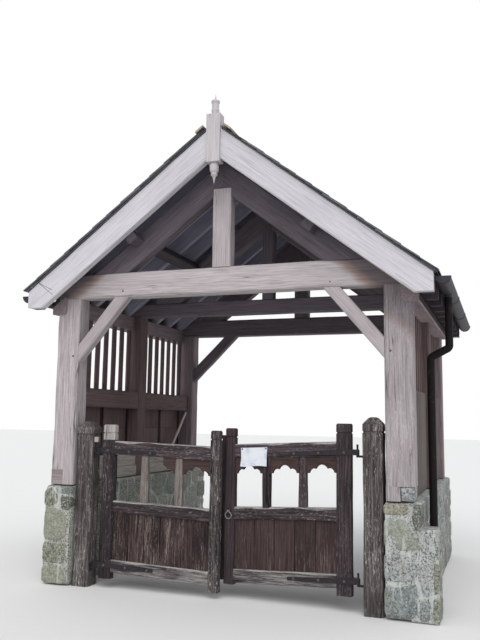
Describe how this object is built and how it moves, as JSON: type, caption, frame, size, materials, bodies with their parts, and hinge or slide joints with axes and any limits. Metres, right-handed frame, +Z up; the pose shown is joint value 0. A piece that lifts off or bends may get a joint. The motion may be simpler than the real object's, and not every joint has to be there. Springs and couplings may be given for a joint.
{
  "type": "lychgate",
  "caption": "Open timber-framed gateway with a steep slated roof on stone dwarf walls, side screens and a pair of drooping timber gates.",
  "frame": {"origin": "middle of the passage, halfway between the gables, on the ground", "axes": "+X to the right seen from the front gable, +Y from the front gable to the back one, +Z up"},
  "size_m": [3.628, 3.136, 4.023],
  "materials": {
    "rubble": "random rubble in pale lime mortar",
    "slate": "riven slates, matt",
    "ridge_tile": "unglazed clay, lichened",
    "iron": "worn black paint with rust",
    "gate_timber": "dark weathered oak",
    "weathered_oak": "pale silvered oak",
    "dark_oak": "sheltered dark oak"
  },
  "bodies": {
    "frame": {"common_rafters": "dark_oak", "downpipe": "iron", "finials": "weathered_oak", "front_barge_boards": "weathered_oak", "front_knee_braces": "weathered_oak", "front_left_post": "weathered_oak", "front_right_post": "weathered_oak", "front_tie_beam": "weathered_oak", "gate_hooks": "iron", "gutters": "iron", "king_posts": "dark_oak", "left_gate_post": "gate_timber", "left_principal_rafters": "dark_oak", "left_slates": "slate", "left_wall": "rubble", "middle_posts": "dark_oak", "middle_tie_beam": "dark_oak", "purlins_and_ridge": "dark_oak", "rear_barge_boards": "weathered_oak", "rear_knee_braces": "dark_oak", "rear_posts": "dark_oak", "rear_tie_beam": "dark_oak", "ridge_tiles": "ridge_tile", "right_gate_post": "gate_timber", "right_principal_rafters": "dark_oak", "right_slates": "slate", "right_wall": "rubble", "roof_boards": "dark_oak", "screen_boards": "dark_oak", "screen_rails": "dark_oak", "screen_slats": "dark_oak", "wall_plates": "dark_oak"},
    "left_gate": {"left_gate_boards": "gate_timber", "left_gate_heads": "gate_timber", "left_gate_muntins": "gate_timber", "left_gate_rails": "gate_timber", "left_gate_stiles": "gate_timber", "left_gate_straps": "iron"},
    "right_gate": {"right_gate_boards": "gate_timber", "right_gate_heads": "gate_timber", "right_gate_muntins": "gate_timber", "right_gate_rails": "gate_timber", "right_gate_stiles": "gate_timber", "right_gate_straps": "iron"},
    "ring": {"ring_handle": "iron"}
  },
  "joints": [
    {"name": "left_gate_hinge", "type": "hinge", "parent": "frame", "child": "left_gate", "pos_m": [-1.097, -1.255, 0], "axis": [0, 0, 1], "range_deg": [0, 90]},
    {"name": "right_gate_hinge", "type": "hinge", "parent": "frame", "child": "right_gate", "pos_m": [1.097, -1.255, 0], "axis": [0, 0, 1], "range_deg": [-85.5, 4.5]},
    {"name": "ring_turn", "type": "hinge", "parent": "right_gate", "child": "ring", "pos_m": [0.06084, -1.20355, 0.6701], "axis": [0.0785, 0.9969, 0], "range_deg": [-45, 45]}
  ]
}
